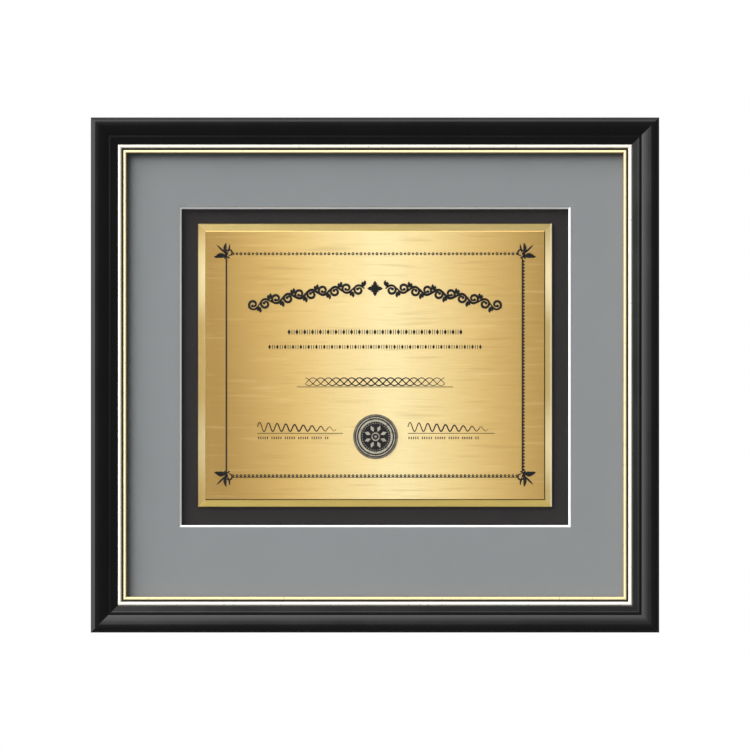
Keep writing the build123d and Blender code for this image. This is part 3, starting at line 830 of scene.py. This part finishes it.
# Rows under the arch, in the same enamel: lozenges with pairs of upright ticks between them, a braid
# of three strands over a rule, and at the foot two wavy lines on rules with a row of ticks under each.
row_places = ((0.0239, 0.0620, 0.0021), (0.0132, 0.0762, 0.0018))
row_pitch = 0.0056
row_tick_shares = (0.36, 0.64)
row_tick_width = 0.00050
row_tick_half_share = 0.8
row_lozenge_share = 0.55
braid_z = -0.0118
braid_half_length = 0.0500
braid_rise = 0.0028
braid_wave = 0.0167
braid_width = 0.00092
braid_ends = (0.5, 0.5)
braid_steps = 180
braid_rule_z = -0.0155
braid_rule_half = 0.0560
foot_rule_z = -0.0488
foot_rule_width = 0.00045
foot_places = ((-0.0843, -0.0230), (0.0236, 0.0858))
wave_count = 9
wave_steps = 144
wave_rise = 0.0034
wave_fading = 0.6
wave_lift = 0.0046
wave_sinking = 0.0016
wave_length_share = 0.92
wave_width = 0.00098
wave_ends = (0.6, 0.3)
tick_row_z = -0.0521
tick_row_share = 0.84
tick_pitch = 0.0016
tick_half_height = 0.0009
tick_width = 0.0007
ticks_in_group = 6

mesh = bmesh.new()
for z, half, size in row_places:
    count = round(2 * half / row_pitch)
    for n in range(count + 1):
        x = row_pitch * (n - count / 2)
        lozenge(mesh, x, z, size * row_lozenge_share, size)
        if n < count:
            for share in row_tick_shares:
                tick_x = x + row_pitch * share
                half_tick = size * row_tick_half_share
                stroke(mesh, [(tick_x, z - half_tick), (tick_x, z + half_tick)], row_tick_width)
print_on_plate(mesh, "plate_lozenge_rows", enamel)

mesh = bmesh.new()
for strand_number in range(3):
    phase = 2 * math.pi * strand_number / 3
    strand = []
    for n in range(braid_steps + 1):
        x = braid_half_length * (2 * n / braid_steps - 1)
        strand.append((x, braid_z + braid_rise * math.cos(2 * math.pi * x / braid_wave + phase)))
    stroke(mesh, strand, braid_width, *braid_ends)
stroke(mesh, [(-braid_rule_half, braid_rule_z), (braid_rule_half, braid_rule_z)], foot_rule_width)
print_on_plate(mesh, "plate_twist_row", enamel)

mesh = bmesh.new()
for left, right in foot_places:
    stroke(mesh, [(left, foot_rule_z), (right, foot_rule_z)], foot_rule_width)
    length = right - left
    wave = []
    for n in range(wave_steps + 1):
        share = n / wave_steps
        rise = wave_rise * (1 - wave_fading * share) * math.sin(2 * math.pi * wave_count * share)
        height = foot_rule_z + wave_lift - wave_sinking * share + rise
        wave.append((left + length * wave_length_share * share, height))
    stroke(mesh, wave, wave_width, *wave_ends)
    for n in range(int(length * tick_row_share / tick_pitch)):
        x = left + tick_pitch * (n + 0.5)
        if n % ticks_in_group != ticks_in_group - 1:
            tick = [(x, tick_row_z - tick_half_height), (x, tick_row_z + tick_half_height)]
            stroke(mesh, tick, tick_width)
print_on_plate(mesh, "plate_foot_rows", enamel)

# Round seal: a thin dark disc pressed on, with raised rings, a ring of beads and an eight-petalled
# rosette. Enamel stays black in its hollows, and the ridges are rubbed back to pale metal.
seal_x = 0.0004
seal_z = -0.0512
seal_radius = 0.0161
seal_thickness = 0.00022
seal_ridge = 0.00036
seal_pale = (0.40, 0.37, 0.29, 1)
seal_dull = (0.095, 0.075, 0.050, 1)
seal_dull_roughness = 0.5
seal_rings = ((0.0140, 0.0133), (0.0123, 0.0108), (0.0030, 0.0022))
seal_rim = (seal_radius, 0.0147)
seal_steps = 72
seal_disc_inset = 0.0003
seal_bead_ring = 0.0097
seal_bead_count = 36
seal_bead_radius = 0.00034
seal_boss_radius = 0.0010
petal_count = 8
petal_reach = (0.0038, 0.0062, 0.0086)
petal_half_width = 0.0013


def rubbed_metal(name, scale, begin, full, paleness, smoothest):
    """Pressed metal with the enamel rubbed off it in patches, down to some paleness."""
    material, tree, shader = new_material(name, Metallic=0.35, Specular_IOR_Level=0.5)
    rubbed = placed(tree, patches, Scale=scale, Detail=4.0, Roughness=0.6, Begin=begin, Full=full)
    share = sum_up(tree, "MULTIPLY", rubbed["Share"], paleness)
    tree.links.new(mix_colours(tree, share, seal_dull, seal_pale), shader.inputs["Base Color"])
    roughness = spread(tree, rubbed["Share"], 0.0, 1.0, seal_dull_roughness, smoothest)
    tree.links.new(roughness, shader.inputs["Roughness"])
    return material


seal_metal = rubbed_metal(
    "seal_metal", scale=260.0, begin=0.30, full=0.50, paleness=1.0, smoothest=0.34
)
seal_rim_metal = rubbed_metal(
    "seal_rim_metal", scale=200.0, begin=0.45, full=0.75, paleness=0.5, smoothest=0.36
)

mesh = bmesh.new()
dot(mesh, seal_x, seal_z, seal_radius - seal_disc_inset, steps=96, height=seal_thickness)
print_on_plate(mesh, "plate_seal_disc", enamel)

mesh = bmesh.new()
ring(mesh, seal_x, seal_z, *seal_rim, steps=seal_steps, height=seal_ridge)
print_on_plate(mesh, "plate_seal_rim", seal_rim_metal)

mesh = bmesh.new()
for outer, inner in seal_rings:
    ring(mesh, seal_x, seal_z, outer, inner, seal_steps, seal_ridge, seal_thickness)
for n in range(seal_bead_count):
    angle = 2 * math.pi * n / seal_bead_count
    x = seal_x + seal_bead_ring * math.cos(angle)
    z = seal_z + seal_bead_ring * math.sin(angle)
    dot(mesh, x, z, seal_bead_radius, 8, seal_ridge, seal_thickness)
for n in range(petal_count):
    angle = 2 * math.pi * (n + 0.5) / petal_count
    near, wide, far = petal_reach
    outline = []
    for out, across in ((near, 0), (wide, -petal_half_width), (far, 0), (wide, petal_half_width)):
        x = seal_x + out * math.cos(angle) - across * math.sin(angle)
        z = seal_z + out * math.sin(angle) + across * math.cos(angle)
        outline.append((x, z))
    patch(mesh, outline, seal_ridge, seal_thickness)
dot(mesh, seal_x, seal_z, seal_boss_radius, 20, seal_ridge, seal_thickness)
print_on_plate(mesh, "plate_seal_ridges", seal_metal)

# Corner nails: strips of hardened steel bent to a right angle, and driven into each mitre from
# behind. The oil that they were hardened in left them a little blue.
nail_bright = (0.40, 0.40, 0.43, 1)
nail_dull = (0.22, 0.22, 0.24, 1)
grain_fineness = 9
grain_roughness = 0.1


def steel_grain_group():
    """The clouded polish of steel, and the fine grain in it."""
    made = [("Cloud", "NodeSocketFloat"), ("Grain", "NodeSocketFloat")]
    tree, start, end = new_group("steel grain", [("Scale", "NodeSocketFloat", 500.0)], made)
    place = object_place(tree)
    cloud = speckle(tree, place, start.outputs["Scale"], detail=4.0, roughness=0.6)
    finer = sum_up(tree, "MULTIPLY", start.outputs["Scale"], grain_fineness)
    tree.links.new(spread(tree, cloud, *noise_core), end.inputs["Cloud"])
    tree.links.new(speckle(tree, place, finer, detail=2.0), end.inputs["Grain"])
    return tree


steel_grain = steel_grain_group()


def steel_finish(name, light, dark, smoothest, roughest, grain_scale):
    """A steel finish: its colour where bright and where dull, its roughness, and its grain."""
    material, tree, shader = new_material(name, Metallic=1.0)
    grain = placed(tree, steel_grain, Scale=grain_scale)
    tree.links.new(mix_colours(tree, grain["Cloud"], light, dark), shader.inputs["Base Color"])
    clouded = spread(tree, grain["Cloud"], 0.0, 1.0, smoothest, roughest)
    roughness = sum_up(tree, "MULTIPLY_ADD", grain["Grain"], grain_roughness, clouded)
    tree.links.new(roughness, shader.inputs["Roughness"])
    emboss(tree, shader, grain["Grain"], strength=0.15, distance=0.00002)
    return material


hardened_steel = steel_finish(
    "hardened_steel", nail_bright, nail_dull, smoothest=0.3, roughest=0.45, grain_scale=500.0
)
finish_of(hardened_steel, "corner_v_nails")

# Turn buttons and screws: the buttons are stamped steel tongues with a zinc coat. Each turns on one
# round-headed screw, and a screw of the same kind holds each hanger.
zinc_bright = (0.50, 0.51, 0.54, 1)
zinc_dull = (0.36, 0.36, 0.38, 1)
screw_bright = (0.52, 0.52, 0.52, 1)
screw_dull = (0.36, 0.35, 0.34, 1)
buttons = [name for name in nodes if name.startswith("turn_button_") and name != "turn_button_screws"]

zinc_steel = steel_finish(
    "zinc_steel", zinc_bright, zinc_dull, smoothest=0.26, roughest=0.40, grain_scale=420.0
)
zinc_screws = steel_finish(
    "zinc_screws", screw_bright, screw_dull, smoothest=0.24, roughest=0.38, grain_scale=700.0
)
finish_of(zinc_steel, *buttons)
finish_of(zinc_screws, "turn_button_screws", "hanger_screws")

# Hangers: a nickel-plated steel strap, rolled round the straight bar of a wire D-ring, which swings
# in it and takes the hook.
nickel_bright = (0.54, 0.52, 0.49, 1)
nickel_dull = (0.40, 0.385, 0.35, 1)
wire_bright = (0.58, 0.565, 0.53, 1)
wire_dull = (0.44, 0.425, 0.39, 1)

nickel_steel = steel_finish(
    "nickel_steel", nickel_bright, nickel_dull, smoothest=0.2, roughest=0.34, grain_scale=300.0
)
nickel_wire = steel_finish(
    "nickel_wire", wire_bright, wire_dull, smoothest=0.14, roughest=0.26, grain_scale=600.0
)
finish_of(nickel_steel, "hanger_strap_left", "hanger_strap_right")
finish_of(nickel_wire, "d_ring_left", "d_ring_right")

# Wall bumpers: soft dark rubber domes, stuck on at the lower corners to hold the frame off the wall,
# with a little dust on them.
rubber_black = (0.022, 0.022, 0.023, 1)
rubber_dusty = (0.10, 0.095, 0.09, 1)
rubber_roughness = (0.5, 0.75)

rubber, tree, shader = new_material("bumper_rubber", Specular_IOR_Level=0.35)
dust = placed(tree, patches, Scale=1500.0, Detail=3.0, Begin=0.52, Full=0.75)["Share"]
tree.links.new(mix_colours(tree, dust, rubber_black, rubber_dusty), shader.inputs["Base Color"])
tree.links.new(spread(tree, dust, 0.0, 1.0, *rubber_roughness), shader.inputs["Roughness"])
finish_of(rubber, "wall_bumpers")

# Floor: a pale sheet of paper under the hanging frame, which thins out into the white room and shows
# from above only. It takes the frame's shadow, but throws no light back and isn't mirrored.
floor_reach = 2.0
floor_fade_from = 0.5
floor_fade_to = floor_reach * 0.97
floor_fade_steepness = 1.5
floor_z = -0.46
floor_grey = (0.80, 0.80, 0.80, 1)

mesh = bmesh.new()
corners = [(-1, -1), (1, -1), (1, 1), (-1, 1)]
mesh.faces.new([mesh.verts.new((x * floor_reach, y * floor_reach, floor_z)) for x, y in corners])
data = bpy.data.meshes.new("studio_floor")
mesh.to_mesh(data)
mesh.free()
floor = bpy.data.objects.new("studio_floor", data)
bpy.context.scene.collection.objects.link(floor)
floor.visible_glossy = False
floor.visible_diffuse = False
floor_paper, tree, shader = new_material("floor_paper", Roughness=0.9, Specular_IOR_Level=0.1)
shader.inputs["Base Color"].default_value = floor_grey
flattened = {0: object_place(tree), 1: (1, 1, 0)}
flat = put(tree, "ShaderNodeVectorMath", flattened, operation="MULTIPLY").outputs[0]
away = put(tree, "ShaderNodeVectorMath", {0: flat}, operation="LENGTH").outputs["Value"]
fade = spread(tree, away, floor_fade_from, floor_fade_to, 1.0, 0.0)
from_below = put(tree, "ShaderNodeNewGeometry").outputs["Backfacing"]
from_above = sum_up(tree, "SUBTRACT", 1.0, from_below)
solidity = sum_up(tree, "POWER", fade, floor_fade_steepness)
solidity = sum_up(tree, "MULTIPLY", solidity, from_above)
tree.links.new(solidity, shader.inputs["Alpha"])
data.materials.append(floor_paper)

# Room: plain white to look at. As a source of light it is dim in front, brightens steeply up and to
# the left, where its windows are, and falls off behind the frame.
room_white = 1.0
room_dim = 0.17
room_window = 4.4
window_steepness = 3.0
behind_left_share = 0.38
behind_top_share = 0.15
window_fall = (-0.15, 0.10)
white_behind = (0.25, 0.80)

world = bpy.data.worlds.new("studio_room")
bpy.context.scene.world = world
world.use_nodes = True
tree = world.node_tree
tree.nodes.clear()
direction = put(tree, "ShaderNodeTexCoord").outputs["Generated"]
axes = put(tree, "ShaderNodeSeparateXYZ", {0: direction}).outputs
behind = spread(tree, axes[1], *white_behind)
upper_left = sum_up(tree, "SUBTRACT", axes[2], axes[0])
from_window = sum_up(tree, "POWER", spread(tree, upper_left, 0.0, 1.0), window_steepness)
behind_share = spread(tree, axes[2], 0.0, 1.0, behind_left_share, behind_top_share)
fall = spread(tree, axes[1], *window_fall, 1.0, behind_share)
from_window = sum_up(tree, "MULTIPLY", from_window, fall)
lit = spread(tree, from_window, 0.0, 1.0, room_dim, room_window)
rays = put(tree, "ShaderNodeLightPath").outputs
through = sum_up(tree, "MAXIMUM", rays["Is Glossy Ray"], rays["Is Transmission Ray"])
mirrored = sum_up(tree, "MULTIPLY", through, behind)
seen = sum_up(tree, "MAXIMUM", rays["Is Camera Ray"], mirrored)
level = sum_up(tree, "MULTIPLY_ADD", seen, sum_up(tree, "SUBTRACT", room_white, lit), lit)
room = put(tree, "ShaderNodeBackground", {"Color": (1, 1, 1, 1), "Strength": level})
put(tree, "ShaderNodeOutputWorld", {"Surface": room.outputs[0]})

# Lamps: a large soft box high in front at the left, which throws the main light and the shade beside
# the slip, and a weaker one behind that keeps the back and the hardware readable.
main_toward = (-0.60, -1.0, 0.60)
back_toward = (0.5, 1.0, 0.7)


def softbox(name, toward, distance, size, radiance):
    """A square soft lamp that faces the middle of the frame from one direction."""
    lamp = bpy.data.lights.new(name, "AREA")
    lamp.shape = "SQUARE"
    lamp.size = size
    lamp.energy = radiance * math.pi * size * size
    holder = bpy.data.objects.new(name, lamp)
    bpy.context.scene.collection.objects.link(holder)
    holder.location = Vector(toward).normalized() * distance
    holder.rotation_mode = "QUATERNION"
    holder.rotation_quaternion = Vector(toward).to_track_quat("Z", "Y")
    holder.visible_camera = False


softbox("main_softbox", main_toward, distance=5.0, size=2.6, radiance=9.0)
softbox("back_softbox", back_toward, distance=2.4, size=1.6, radiance=2.0)

# Camera: straight in front, far off with a long lens, as the photograph shows no side of the frame.
# The photograph's width at the moulding's front face sets the lens.
photo_width = 0.5357
camera_distance = 3.2
camera_data = bpy.data.cameras.new("camera")
camera = bpy.data.objects.new("camera", camera_data)
bpy.context.scene.collection.objects.link(camera)
camera_data.lens = camera_data.sensor_width * (camera_distance + cad_low.y) / photo_width
camera_data.clip_start = 0.1
camera_data.clip_end = 50
camera.location = (0, -camera_distance, 0)
camera.rotation_euler = (math.radians(90), 0, 0)
bpy.context.scene.camera = camera
bpy.context.scene.view_settings.view_transform = "Standard"
